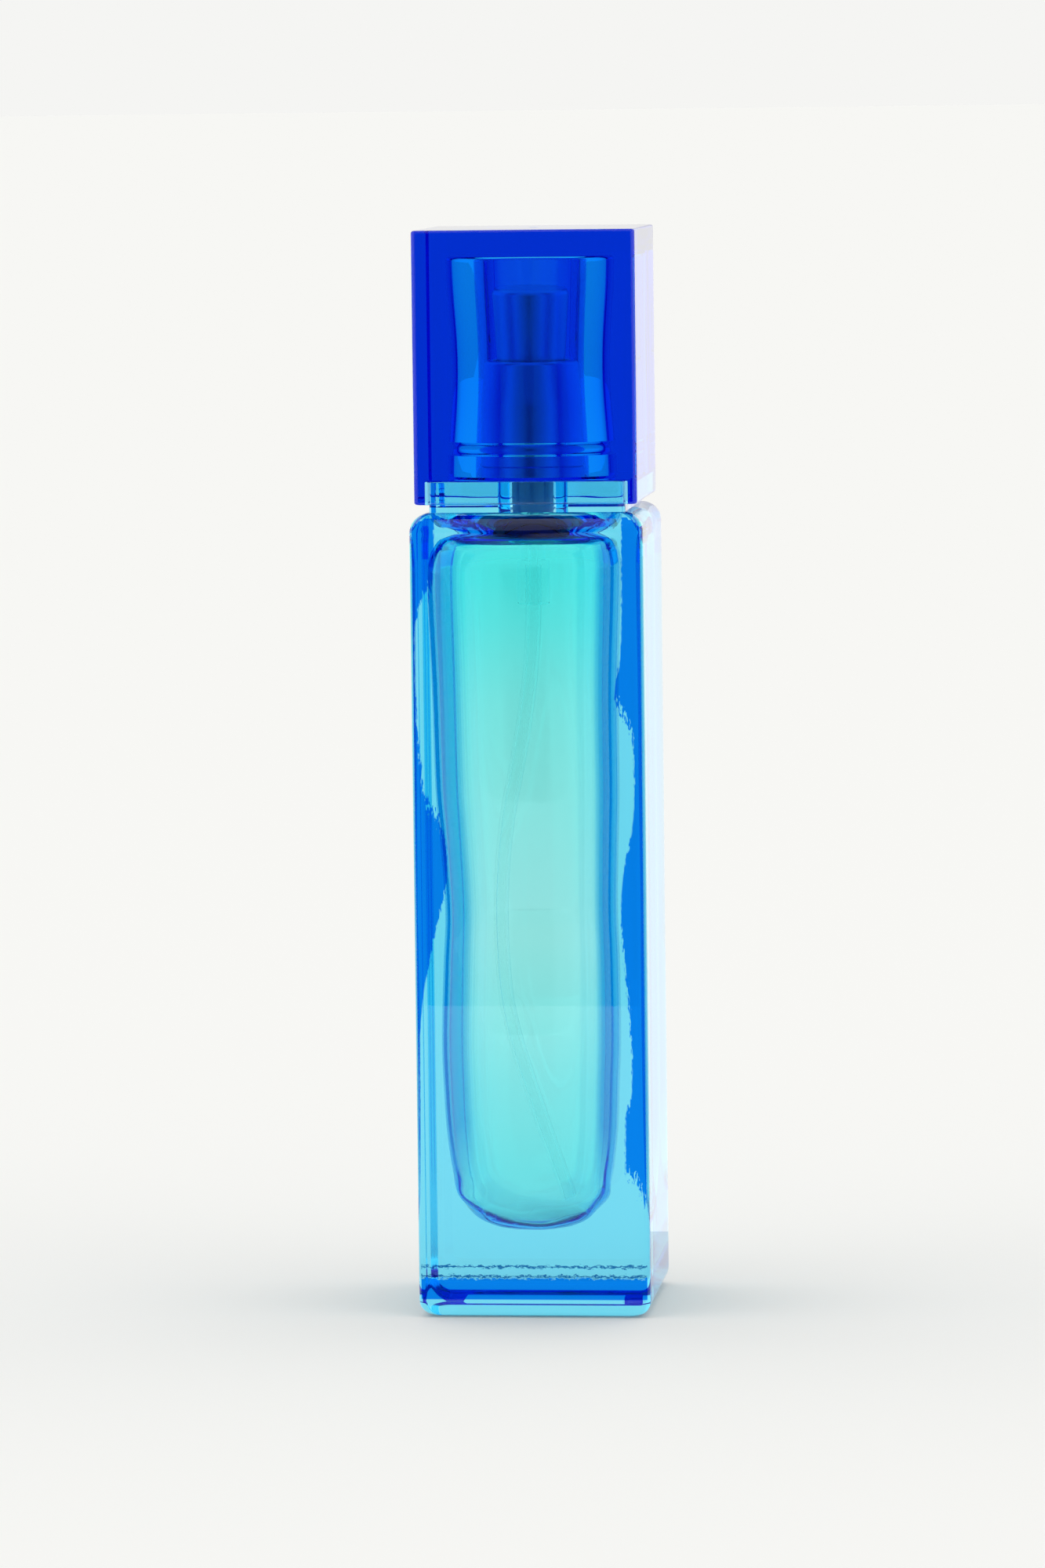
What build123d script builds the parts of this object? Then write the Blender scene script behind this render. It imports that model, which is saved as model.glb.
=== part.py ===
from build123d import *

import math
import os

# Square glass spray bottle with a crimped fine-mist pump and a solid block overcap.
# Millimetres. The origin is the centre of the base, +Z is up and -Y is the front.
# Each function makes one piece, and the dictionary at the end names and writes them.

OVERLAP = 1.0  # how far a cutter or a joined block reaches past the face it meets
FIT_GAP = 0.02  # between pieces pressed together
RUNNING_GAP = 0.05  # radial, between sliding pieces

# ---- glass bottle -----------------------------------------------------------------
BODY_W = 31.0  # square section, face to face
SHOULDER_Z = 107.3
CORNER_R = 1.1  # upright edges
SHOULDER_R = 2.6
HEEL_R = 2.2
PUSH_UP_W = 22.0  # shallow hollow under the base, so that the bottle stands on its rim
PUSH_UP_DEPTH = 0.45
PLINTH_W = 26.1  # square step that centres the overcap
PLINTH_Z = 111.5
PLINTH_CORNER_R = 1.2
NECK_SHANK_R = 6.4
NECK_BEAD_R = 7.5  # 15 mm crimp neck
BEAD_LOW_Z = 113.9
BEAD_FULL_Z = 114.6
NECK_TOP_Z = 118.3
NECK_BORE_R = 4.7
NECK_LIP = 0.5  # chamfer at the mouth

# Blown cavity, from its floor to its roof: height, width, corner radius, sideways drift.
CAVITY = [
    (10.7, 6.0, 2.4, -0.8),
    (11.0, 9.2, 3.8, -0.8),
    (12.2, 14.4, 5.6, -0.8),
    (14.4, 19.2, 6.8, -0.85),
    (16.9, 20.8, 7.2, -0.9),
    (23.5, 22.7, 7.4, -0.95),
    (30.1, 23.4, 7.4, -1.0),
    (36.8, 23.8, 7.4, -0.95),
    (46.7, 23.4, 7.4, -0.8),
    (54.0, 22.9, 7.4, -0.75),
    (64.3, 23.8, 7.4, -0.95),
    (70.3, 24.4, 7.4, -1.1),
    (83.6, 24.7, 7.4, -1.25),
    (96.9, 25.6, 7.4, -1.25),
    (101.0, 25.2, 7.2, -1.1),
    (103.5, 23.0, 6.6, -0.8),
    (104.7, 18.4, 6.0, -0.5),
]
CAVITY_DEPTH_SHARE = 0.92  # the cavity is a little shallower, front to back, than it is wide
LIQUID_Z = 102.8
LIQUID_GAP = 0.03  # drawn off the glass, so that the two solids never share a face

# ---- overcap ----------------------------------------------------------------------
CAP_W = 29.6
CAP_LOW_Z = 108.4
CAP_TOP_Z = 144.6
CAP_CORNER_R = 0.7
CAP_EDGE_R = 0.35
RECESS_W = 27.1
RECESS_CORNER_R = 1.0
RECESS_Z = 111.6
BORE_LOW_R = 11.3
BORE_WAIST_R = 10.55
BORE_TOP_R = 11.25
BORE_WAIST_Z = 126.0
BORE_TOP_Z = 141.0
BORE_STEPS = 12  # points that its wall's curve goes through
SNAP_Z = 115.5
SNAP_R = 10.55
SNAP_HALF_H = 0.9

# ---- collar -----------------------------------------------------------------------
COLLAR_LOW_Z = 111.55
COLLAR_TOP_Z = 127.0
COLLAR_FOOT_R = 10.4
COLLAR_FOOT_Z = 113.2
COLLAR_LOW_R = 10.15
COLLAR_SHOULDER_R = 10.0
COLLAR_SHOULDER_Z = 121.8  # the wall draws in above this height
COLLAR_TOP_R = 9.35
COLLAR_RIM_R = 0.6  # rounding of the top edge
COLLAR_WALL = 0.45
COLLAR_OPENING_R = 7.75
CLIP_LOW_Z = 112.6
CLIP_TOP_Z = 121.5

# ---- crimped pump -----------------------------------------------------------------
FERRULE_R = 8.0
FERRULE_WALL = 0.35
FERRULE_LOW_Z = 113.4
FERRULE_LIP_R = 6.75
FERRULE_OPENING_R = 4.6
GASKET_T = 0.9
FLANGE_R = 7.3
FLANGE_T = 1.0
FLANGE_LOW_Z = NECK_TOP_Z + GASKET_T
FLANGE_TOP_Z = FLANGE_LOW_Z + FLANGE_T
BARREL_R = 4.2
BARREL_BORE_R = 3.2
BARREL_LOW_Z = 103.0
BARREL_CONE = 1.2  # 45 degree cone at its foot
SPRING_SEAT_Z = 106.2
BALL_R = 1.1
BALL_Z = 104.7
BALL_CAGE_R = 1.35
BALL_LIP_R = 0.95
BALL_SEAT_Z = 103.6
BALL_SEAT_RISE = 0.8
BALL_LIP_H = 0.2
INLET_R = 0.5
TAIL_TOP_Z = 100.6
TAIL_LOW_Z = 94.5
TAIL_R = 2.2
TAIL_NECK_R = 1.6
TUBE_R = 1.05
TUBE_BORE_R = 0.65
TUBE_TOP_Z = 99.9

TURRET_LOW_Z = 117.6
TURRET_R = 3.16
TURRET_RIM_R = 4.4
TURRET_RIM_Z = 121.0
TURRET_TOP_Z = 122.4
TURRET_BOSS_R = 2.8
SEAL_LOW_Z = 116.95

STEM_R = 1.6
STEM_BORE_R = 0.7
STEM_TOP_Z = 130.4
STEM_FLANGE_R = 2.5
STEM_FLANGE_LOW_Z = 116.3
STEM_FLANGE_TOP_Z = 116.9
STEM_SHANK_R = 1.25
STEM_FOOT_Z = 112.65
STEM_PORT_Z = 115.2
STEM_PORT_R = 0.35
HEAD_LOW_Z = 111.9
HEAD_R = 2.3
SPIGOT_TOP_Z = 114.2

PISTON_LOW_Z = 110.9
PISTON_WEB_Z = 113.3
PISTON_TOP_Z = 114.6
PISTON_SLEEVE_R = 1.75
PISTON_SLEEVE_Z = 114.4
PISTON_SKIRT_R = 2.75

RETURN_MEAN_R = 1.95
RETURN_WIRE_R = 0.25
RETURN_TURNS = 5
PRELOAD_MEAN_R = 2.2
PRELOAD_WIRE_R = 0.18
PRELOAD_TURNS = 4

# ---- push button ------------------------------------------------------------------
BUTTON_LOW_Z = 125.8
BUTTON_TOP_Z = 136.4
BUTTON_LOW_R = 6.7
BUTTON_TOP_R = 7.6
BUTTON_EDGE_R = 0.9
SHEATH_T = 0.4
CORE_FLOOR_Z = 127.0
CORE_SKIRT_R = 5.6
CHANNEL_R = 0.6
NOZZLE_Z = 132.3
NOZZLE_R = 1.5
NOZZLE_DEPTH = 1.7
ORIFICE_R = 0.2

# ---- dip tube route in the XZ plane, from the tail socket to the floor --------------
TUBE_ROUTE = [
    (0.0, TUBE_TOP_Z),
    (0.0, 90.0),
    (-1.6, 77.5),
    (-4.6, 63.5),
    (-5.3, 49.5),
    (-3.7, 35.0),
    (4.3, 14.4),
]
TUBE_ARC_SHARE = 0.45  # of the shorter run at each corner
TUBE_CUT_DEG = 35  # slant of the cut end
CUTTER_W = 8.0
CUTTER_DROP = 3.9  # from the tip to the middle of the cutter


def turned(points):
    """A solid of revolution about Z, from a closed outline of (radius, height) points."""
    return revolve(Plane.XZ * make_face(Polyline(*points, close=True)), Axis.Z)


def square_block(width, low, high, corner_r):
    """An upright square prism with rounded corners."""
    return Pos(0, 0, low) * extrude(RectangleRounded(width, width, corner_r), high - low)


def cavity_solid(inset):
    """The cavity as a smooth loft, drawn in from the glass by the inset."""
    sections = []
    for height, width, corner_r, drift in CAVITY:
        depth = width * CAVITY_DEPTH_SHARE
        outline = RectangleRounded(width - 2 * inset, depth - 2 * inset, corner_r - inset)
        sections.append(Pos(drift, 0, height) * outline)
    return loft(sections)


def glass_bottle():
    body = Pos(0, 0, SHOULDER_Z / 2) * Box(BODY_W, BODY_W, SHOULDER_Z)
    body = fillet(body.faces().sort_by(Axis.Z)[-1].edges(), SHOULDER_R)
    body = fillet(body.faces().sort_by(Axis.Z)[0].edges(), HEEL_R)
    corners = [e for e in body.edges() if math.isclose(abs(e.center().X), abs(e.center().Y), abs_tol=FIT_GAP)]
    body = fillet(corners, CORNER_R)
    plinth = square_block(PLINTH_W, SHOULDER_Z - OVERLAP, PLINTH_Z, PLINTH_CORNER_R)
    neck = turned([
        (0, PLINTH_Z - OVERLAP),
        (NECK_SHANK_R, PLINTH_Z - OVERLAP),
        (NECK_SHANK_R, BEAD_LOW_Z),
        (NECK_BEAD_R, BEAD_FULL_Z),
        (NECK_BEAD_R, NECK_TOP_Z - NECK_LIP),
        (NECK_BEAD_R - NECK_LIP, NECK_TOP_Z),
        (0, NECK_TOP_Z),
    ])
    push_up = extrude(Rectangle(PUSH_UP_W, PUSH_UP_W), PUSH_UP_DEPTH, taper=45)
    roof_z = CAVITY[-1][0]
    bore = Pos(0, 0, roof_z - OVERLAP) * extrude(Circle(NECK_BORE_R), NECK_TOP_Z - roof_z + 2 * OVERLAP)
    return body + plinth + neck - push_up - cavity_solid(0) - bore


def dip_tube_path():
    """Straight runs joined by tangent arcs, each as large as its two runs allow."""
    runs = [Vector(*b) - Vector(*a) for a, b in zip(TUBE_ROUTE, TUBE_ROUTE[1:])]
    radii = []
    for before, after in zip(runs, runs[1:]):
        half_turn = math.radians(before.get_angle(after)) / 2
        shorter = min(before.length, after.length)
        radii.append(TUBE_ARC_SHARE * shorter / math.tan(half_turn))
    print("dip tube radii:", [round(r, 1) for r in radii])
    return Plane.XZ * FilletPolyline(*TUBE_ROUTE, radius=radii)


def along_tube(radius):
    """A round bar of the given radius along the dip tube's whole route."""
    path = dip_tube_path()
    section = Plane(origin=path @ 0, z_dir=path % 0) * Circle(radius)
    return sweep(section, path=path)


def dip_tube():
    tip_x, tip_z = TUBE_ROUTE[-1]
    cutter = Pos(0, 0, -CUTTER_DROP) * Box(CUTTER_W, CUTTER_W, CUTTER_W)
    cutter = Pos(tip_x, 0, tip_z) * Rot(0, TUBE_CUT_DEG, 0) * cutter
    return along_tube(TUBE_R) - along_tube(TUBE_BORE_R) - cutter


def bottle_liquid():
    above = Pos(0, 0, LIQUID_Z + BODY_W / 2) * Box(BODY_W, BODY_W, BODY_W)
    tail = turned([
        (0, TAIL_LOW_Z - LIQUID_GAP),
        (TAIL_R + LIQUID_GAP, TAIL_LOW_Z - LIQUID_GAP),
        (TAIL_R + LIQUID_GAP, TAIL_TOP_Z + LIQUID_GAP),
        (TAIL_NECK_R + LIQUID_GAP, TAIL_TOP_Z + LIQUID_GAP),
        (TAIL_NECK_R + LIQUID_GAP, LIQUID_Z + OVERLAP),
        (0, LIQUID_Z + OVERLAP),
    ])
    return cavity_solid(LIQUID_GAP) - above - tail - along_tube(TUBE_R + LIQUID_GAP)


def bore_radius(height):
    """The cap's bore is drawn in a little at its waist, in a smooth cosine."""
    if height < BORE_WAIST_Z:
        end_r, span = BORE_LOW_R, BORE_WAIST_Z - RECESS_Z
    else:
        end_r, span = BORE_TOP_R, BORE_TOP_Z - BORE_WAIST_Z
    along = abs(height - BORE_WAIST_Z) / span
    return BORE_WAIST_R + (end_r - BORE_WAIST_R) * (1 - math.cos(math.pi * along)) / 2


def overcap():
    block = square_block(CAP_W, CAP_LOW_Z, CAP_TOP_Z, CAP_CORNER_R)
    block = fillet(block.faces().sort_by(Axis.Z)[-1].edges(), CAP_EDGE_R)
    block = fillet(block.faces().sort_by(Axis.Z)[0].edges(), CAP_EDGE_R)
    recess = square_block(RECESS_W, CAP_LOW_Z - OVERLAP, RECESS_Z, RECESS_CORNER_R)
    rise = BORE_TOP_Z - SNAP_Z - SNAP_HALF_H
    heights = [SNAP_Z + SNAP_HALF_H + rise * i / BORE_STEPS for i in range(BORE_STEPS + 1)]
    wall = Spline(*[(bore_radius(z), z) for z in heights])
    outline = [
        wall,
        Polyline(wall @ 1, (0, BORE_TOP_Z), (0, RECESS_Z - OVERLAP), (BORE_LOW_R, RECESS_Z - OVERLAP),
                 (bore_radius(SNAP_Z - SNAP_HALF_H), SNAP_Z - SNAP_HALF_H)),
        ThreePointArc((bore_radius(SNAP_Z - SNAP_HALF_H), SNAP_Z - SNAP_HALF_H), (SNAP_R, SNAP_Z), wall @ 0),
    ]
    return block - recess - revolve(Plane.XZ * make_face(outline), Axis.Z)


def collar_outer_r(height):
    """Outer radius of the collar's wall between its foot and its shoulder."""
    along = (height - COLLAR_FOOT_Z) / (COLLAR_SHOULDER_Z - COLLAR_FOOT_Z)
    return COLLAR_LOW_R + (COLLAR_SHOULDER_R - COLLAR_LOW_R) * along


def collar_shell():
    outer = turned([
        (0, COLLAR_LOW_Z),
        (COLLAR_FOOT_R, COLLAR_LOW_Z),
        (COLLAR_FOOT_R, COLLAR_FOOT_Z),
        (COLLAR_LOW_R, COLLAR_FOOT_Z),
        (COLLAR_SHOULDER_R, COLLAR_SHOULDER_Z),
        (COLLAR_TOP_R, COLLAR_TOP_Z),
        (0, COLLAR_TOP_Z),
    ])
    outer = fillet(outer.edges().filter_by(GeomType.CIRCLE).group_by(Axis.Z)[-1], COLLAR_RIM_R)
    inner = turned([
        (0, COLLAR_LOW_Z - OVERLAP),
        (COLLAR_LOW_R - COLLAR_WALL, COLLAR_LOW_Z - OVERLAP),
        (COLLAR_LOW_R - COLLAR_WALL, COLLAR_FOOT_Z),
        (COLLAR_SHOULDER_R - COLLAR_WALL, COLLAR_SHOULDER_Z - COLLAR_WALL / 2),
        (COLLAR_TOP_R - COLLAR_WALL, COLLAR_TOP_Z - COLLAR_WALL),
        (0, COLLAR_TOP_Z - COLLAR_WALL),
    ])
    opening = Pos(0, 0, COLLAR_TOP_Z - OVERLAP) * extrude(Circle(COLLAR_OPENING_R), 2 * OVERLAP)
    return outer - inner - opening


def collar_clip():
    """Plastic ring: it grips the ferrule inside and holds the collar shell outside."""
    low_r = collar_outer_r(COLLAR_FOOT_Z + OVERLAP) - COLLAR_WALL - FIT_GAP
    top_r = collar_outer_r(CLIP_TOP_Z) - COLLAR_WALL - 3 * FIT_GAP
    lip_z = FLANGE_TOP_Z + FERRULE_WALL + FIT_GAP
    return turned([
        (FERRULE_R + FIT_GAP, CLIP_LOW_Z),
        (low_r, CLIP_LOW_Z),
        (top_r, CLIP_TOP_Z),
        (FERRULE_LIP_R, CLIP_TOP_Z),
        (FERRULE_LIP_R, lip_z),
        (FERRULE_R + FIT_GAP, lip_z),
    ])


def crimp_ferrule():
    inner_r = FERRULE_R - FERRULE_WALL
    return turned([
        (FERRULE_LIP_R, FERRULE_LOW_Z),
        (FERRULE_R, FERRULE_LOW_Z),
        (FERRULE_R, FLANGE_TOP_Z + FERRULE_WALL),
        (FERRULE_OPENING_R, FLANGE_TOP_Z + FERRULE_WALL),
        (FERRULE_OPENING_R, FLANGE_TOP_Z),
        (inner_r, FLANGE_TOP_Z),
        (inner_r, FERRULE_LOW_Z + FERRULE_WALL),
        (FERRULE_LIP_R, FERRULE_LOW_Z + FERRULE_WALL),
    ])


def neck_gasket():
    return turned([
        (BARREL_R + FIT_GAP, NECK_TOP_Z),
        (FLANGE_R, NECK_TOP_Z),
        (FLANGE_R, FLANGE_LOW_Z),
        (BARREL_R + FIT_GAP, FLANGE_LOW_Z),
    ])


def pump_housing():
    return turned([
        (FLANGE_R, FLANGE_TOP_Z),
        (FLANGE_R, FLANGE_LOW_Z),
        (BARREL_R, FLANGE_LOW_Z),
        (BARREL_R, BARREL_LOW_Z + BARREL_CONE),
        (BARREL_R - BARREL_CONE, BARREL_LOW_Z),
        (TAIL_NECK_R, BARREL_LOW_Z),
        (TAIL_NECK_R, TAIL_TOP_Z),
        (TAIL_R, TAIL_TOP_Z),
        (TAIL_R, TAIL_LOW_Z),
        (TUBE_R + FIT_GAP, TAIL_LOW_Z),
        (TUBE_R + FIT_GAP, TUBE_TOP_Z + FIT_GAP),
        (INLET_R, TUBE_TOP_Z + FIT_GAP),
        (INLET_R, BALL_SEAT_Z),
        (BALL_CAGE_R, BALL_SEAT_Z + BALL_SEAT_RISE),
        (BALL_CAGE_R, SPRING_SEAT_Z - BALL_LIP_H),
        (BALL_LIP_R, SPRING_SEAT_Z - BALL_LIP_H),
        (BALL_LIP_R, SPRING_SEAT_Z),
        (BARREL_BORE_R, SPRING_SEAT_Z),
        (BARREL_BORE_R, FLANGE_TOP_Z),
    ])


def pump_turret():
    bore_r = STEM_R + RUNNING_GAP
    return turned([
        (bore_r, TURRET_LOW_Z),
        (TURRET_R, TURRET_LOW_Z),
        (TURRET_R, FLANGE_TOP_Z),
        (TURRET_RIM_R, FLANGE_TOP_Z),
        (TURRET_RIM_R, TURRET_RIM_Z),
        (TURRET_BOSS_R, TURRET_RIM_Z),
        (TURRET_BOSS_R, TURRET_TOP_Z),
        (bore_r, TURRET_TOP_Z),
    ])


def stem_seal():
    return turned([
        (STEM_R + RUNNING_GAP, SEAL_LOW_Z),
        (TURRET_R, SEAL_LOW_Z),
        (TURRET_R, TURRET_LOW_Z),
        (STEM_R + RUNNING_GAP, TURRET_LOW_Z),
    ])


def stem():
    tube = turned([
        (STEM_BORE_R, STEM_FOOT_Z),
        (STEM_SHANK_R, STEM_FOOT_Z),
        (STEM_SHANK_R, STEM_FLANGE_LOW_Z),
        (STEM_FLANGE_R, STEM_FLANGE_LOW_Z),
        (STEM_FLANGE_R, STEM_FLANGE_TOP_Z),
        (STEM_R, STEM_FLANGE_TOP_Z),
        (STEM_R, STEM_TOP_Z),
        (STEM_BORE_R, STEM_TOP_Z),
    ])
    port = Pos(0, 0, STEM_PORT_Z) * Rot(0, 90, 0) * Cylinder(STEM_PORT_R, 4 * STEM_SHANK_R)
    return tube - port


def stem_head():
    return turned([
        (0, HEAD_LOW_Z),
        (HEAD_R, HEAD_LOW_Z),
        (HEAD_R, STEM_FOOT_Z - 2 * RUNNING_GAP),
        (STEM_SHANK_R, STEM_FOOT_Z),
        (STEM_BORE_R - FIT_GAP, STEM_FOOT_Z),
        (STEM_BORE_R - FIT_GAP, SPIGOT_TOP_Z),
        (0, SPIGOT_TOP_Z),
    ])


def piston():
    """Sleeve on the stem's shank, with a web and a skirt that wipes the barrel."""
    bore_r = STEM_SHANK_R + RUNNING_GAP
    wall_r = BARREL_BORE_R - RUNNING_GAP
    seat_z = STEM_FOOT_Z + RUNNING_GAP
    return turned([
        (bore_r, seat_z),
        (PISTON_SKIRT_R, seat_z),
        (PISTON_SKIRT_R, PISTON_LOW_Z),
        (wall_r, PISTON_LOW_Z),
        (wall_r, PISTON_TOP_Z),
        (PISTON_SKIRT_R, PISTON_TOP_Z),
        (PISTON_SKIRT_R, PISTON_WEB_Z),
        (PISTON_SLEEVE_R, PISTON_WEB_Z),
        (PISTON_SLEEVE_R, PISTON_SLEEVE_Z),
        (bore_r, PISTON_SLEEVE_Z),
    ])


def coil_spring(low, high, mean_r, wire_r, turns):
    """A round-wire helix that fills the height from low to high."""
    rise = high - low - 2 * wire_r
    path = Helix(pitch=rise / turns, height=rise, radius=mean_r)
    section = Plane(origin=path @ 0, z_dir=path % 0) * Circle(wire_r)
    return Pos(0, 0, low + wire_r) * sweep(section, path=path, is_frenet=True)


def return_spring():
    return coil_spring(SPRING_SEAT_Z + RUNNING_GAP, HEAD_LOW_Z - RUNNING_GAP,
                       RETURN_MEAN_R, RETURN_WIRE_R, RETURN_TURNS)


def precompression_spring():
    return coil_spring(PISTON_WEB_Z + RUNNING_GAP, STEM_FLANGE_LOW_Z - RUNNING_GAP,
                       PRELOAD_MEAN_R, PRELOAD_WIRE_R, PRELOAD_TURNS)


def inlet_ball():
    return Pos(0, 0, BALL_Z) * Sphere(BALL_R)


def button_solid(inset):
    """The button's tapered drum with a rounded top edge, drawn in by the inset."""
    drum = turned([
        (0, BUTTON_LOW_Z),
        (BUTTON_LOW_R - inset, BUTTON_LOW_Z),
        (BUTTON_TOP_R - inset, BUTTON_TOP_Z - inset),
        (0, BUTTON_TOP_Z - inset),
    ])
    rim = drum.edges().filter_by(GeomType.CIRCLE).group_by(Axis.Z)[-1]
    return fillet(rim, BUTTON_EDGE_R - inset)


def nozzle_bar(radius, inner_y):
    """A round bar along Y at the nozzle's height, from inner_y outwards past the sheath."""
    return Pos(0, inner_y, NOZZLE_Z) * Rot(-90, 0, 0) * extrude(Circle(radius), BUTTON_TOP_R)


def nozzle_face_y():
    """Where the nozzle's outer face lies: flush with the sheath at its height."""
    along = (NOZZLE_Z - BUTTON_LOW_Z) / (BUTTON_TOP_Z - BUTTON_LOW_Z)
    return BUTTON_LOW_R + (BUTTON_TOP_R - BUTTON_LOW_R) * along


def actuator_shell():
    window = nozzle_bar(NOZZLE_R + 2 * FIT_GAP, BUTTON_LOW_R - 2 * OVERLAP)
    return button_solid(0) - button_solid(SHEATH_T) - window


def actuator_core():
    drum = button_solid(SHEATH_T + FIT_GAP)
    under_z = BUTTON_LOW_Z - OVERLAP
    below = Pos(0, 0, under_z) * extrude(Circle(CORE_SKIRT_R), CORE_FLOOR_Z - under_z)
    foot = Pos(0, 0, under_z) * extrude(Circle(BUTTON_TOP_R), OVERLAP + 2 * RUNNING_GAP)
    socket_h = STEM_TOP_Z + 2 * RUNNING_GAP - CORE_FLOOR_Z + OVERLAP
    socket = Pos(0, 0, CORE_FLOOR_Z - OVERLAP) * extrude(Circle(STEM_R + RUNNING_GAP), socket_h)
    riser = Pos(0, 0, STEM_TOP_Z) * extrude(Circle(CHANNEL_R), NOZZLE_Z - STEM_TOP_Z + CHANNEL_R)
    pocket = nozzle_bar(NOZZLE_R + FIT_GAP, nozzle_face_y() - NOZZLE_DEPTH)
    return drum - below - foot - socket - riser - nozzle_bar(CHANNEL_R, 0) - pocket


def nozzle_insert():
    depth = NOZZLE_DEPTH - FIT_GAP
    plug = turned([
        (ORIFICE_R, 0),
        (NOZZLE_R, 0),
        (NOZZLE_R, depth),
        (3.5 * ORIFICE_R, depth),
        (ORIFICE_R, depth - 2 * ORIFICE_R),
    ])
    return Pos(0, nozzle_face_y() - depth, NOZZLE_Z) * Rot(-90, 0, 0) * plug


PIECES = {
    "glass_bottle": glass_bottle,
    "bottle_liquid": bottle_liquid,
    "overcap": overcap,
    "collar_shell": collar_shell,
    "collar_clip": collar_clip,
    "crimp_ferrule": crimp_ferrule,
    "neck_gasket": neck_gasket,
    "pump_housing": pump_housing,
    "pump_turret": pump_turret,
    "stem_seal": stem_seal,
    "stem": stem,
    "stem_head": stem_head,
    "piston": piston,
    "precompression_spring": precompression_spring,
    "return_spring": return_spring,
    "inlet_ball": inlet_ball,
    "dip_tube": dip_tube,
    "actuator_core": actuator_core,
    "actuator_shell": actuator_shell,
    "nozzle_insert": nozzle_insert,
}

os.makedirs("parts", exist_ok=True)
for name, make in PIECES.items():
    solid = make()
    solid.label = name
    export_step(solid, f"parts/{name}.step")
    print(f"{name}: {solid.volume:.1f} mm3")
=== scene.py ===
import math

import bmesh
import bpy
from mathutils import Matrix, Quaternion, Vector


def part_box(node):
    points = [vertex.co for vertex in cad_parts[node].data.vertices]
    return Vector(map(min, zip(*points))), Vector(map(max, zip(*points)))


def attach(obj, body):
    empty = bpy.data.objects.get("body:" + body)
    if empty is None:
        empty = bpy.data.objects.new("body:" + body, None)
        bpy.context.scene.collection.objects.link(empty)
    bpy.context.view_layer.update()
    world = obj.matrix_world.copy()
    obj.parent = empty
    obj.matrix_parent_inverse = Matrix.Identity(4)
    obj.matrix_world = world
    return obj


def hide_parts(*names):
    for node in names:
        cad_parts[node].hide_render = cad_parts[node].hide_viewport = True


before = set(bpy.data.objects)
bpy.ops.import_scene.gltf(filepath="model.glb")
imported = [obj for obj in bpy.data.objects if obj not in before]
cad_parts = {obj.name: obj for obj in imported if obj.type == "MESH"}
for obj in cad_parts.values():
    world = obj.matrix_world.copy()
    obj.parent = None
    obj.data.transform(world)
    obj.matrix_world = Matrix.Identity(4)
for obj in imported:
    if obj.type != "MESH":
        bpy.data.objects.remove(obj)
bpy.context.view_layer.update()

# A square blue glass spray bottle with a solid transparent overcap, in a pale studio.

MM = 0.001  # every size below is in millimetres, and meshes are scaled once when they are finished
scene = bpy.context.scene

# ---------------------------------------------------------------------------------- sizes


def span(node):
    """Lowest and highest corner of a CAD node, in millimetres."""
    low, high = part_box(node)
    return low / MM, high / MM


CAP_LOW, CAP_HIGH = span("overcap")
COLLAR_LOW, COLLAR_HIGH = span("collar_shell")
BUTTON_LOW, BUTTON_HIGH = span("actuator_shell")
FILL_LEVEL = span("bottle_liquid")[1].z

BODY_HALF = span("glass_bottle")[1].x
SHOULDER_Z = 107.3
BODY_CORNER = 1.1
SHOULDER_R = 2.6
HEEL_R = 2.2
PLINTH_HALF = 13.05
PLINTH_Z = 111.5
PLINTH_EDGE = 0.3
NECK_BORE_R = 4.7
PUNT_DEPTH = 0.45  # the hollow under the base

# Neck, from the plinth up over the bead and down into the bore: radius, height.
CAVITY_ROOF = 104.7
BORE_END = CAVITY_ROOF + 0.05
NECK = [(6.4, PLINTH_Z), (6.4, 113.9), (7.5, 114.6), (7.5, 117.8), (7.0, 118.3), (5.2, 118.3),
        (NECK_BORE_R, 117.9), (NECK_BORE_R, BORE_END)]

# Cavity from floor to roof: height, half width, sideways drift.
CAVITY = [
    (10.7, 3.2, -0.8),
    (11.0, 5.0, -0.8),
    (12.2, 7.5, -0.8),
    (14.4, 9.65, -0.85),
    (16.9, 10.45, -0.9),
    (23.5, 11.35, -0.95),
    (30.1, 11.7, -1.0),
    (36.8, 11.9, -0.95),
    (46.7, 11.7, -0.8),
    (54.0, 11.45, -0.75),
    (64.3, 11.9, -0.95),
    (70.3, 12.2, -1.1),
    (83.6, 12.35, -1.25),
    (96.9, 12.8, -1.25),
    (101.0, 12.6, -1.1),
    (103.5, 11.5, -0.8),
    (104.7, 9.2, -0.5),
]
CAVITY_STEPS = 6
CAVITY_DEPTH_SHARE = 0.92
CAVITY_SQUARENESS = 3.0  # power of its superellipse; the floor is rounder and a little uneven
FLOOR_ROUNDING = 0.7
FLOOR_UNEVENNESS = 0.028
FLOOR_BLEND = 9.0  # height over which the floor turns into the wall

# The liquid climbs the glass: distance in from the wall, height over the level.
LAP = 0.06
CLIMB = 0.8
MENISCUS = [(0.35, 0.50), (0.8, 0.27), (1.4, 0.11), (2.2, 0.03), (3.2, 0.0)]

# Cap: a block with a square recess in its foot and a round bore over that, waisted in the middle.
CAP_EDGE = 0.35
CAP_CORNER = 0.6
GATE_R = 0.65
GATE_DEPTH = 0.18
RECESS_HALF = 13.55
RECESS_EDGE = 0.3
RECESS_TOP = 111.6
BORE_WAIST_R = 10.55
BORE_WAIST_Z = 126.0
BORE_FOOT_R = 11.3
BORE_HEAD_R = 11.25
BORE_TOP = 141.0
BORE_EDGE = 0.5
SNAP_Z = 115.5  # a rounded ridge that grips the collar
SNAP_HALF = 0.9
SNAP_HEIGHT = 0.65

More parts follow.
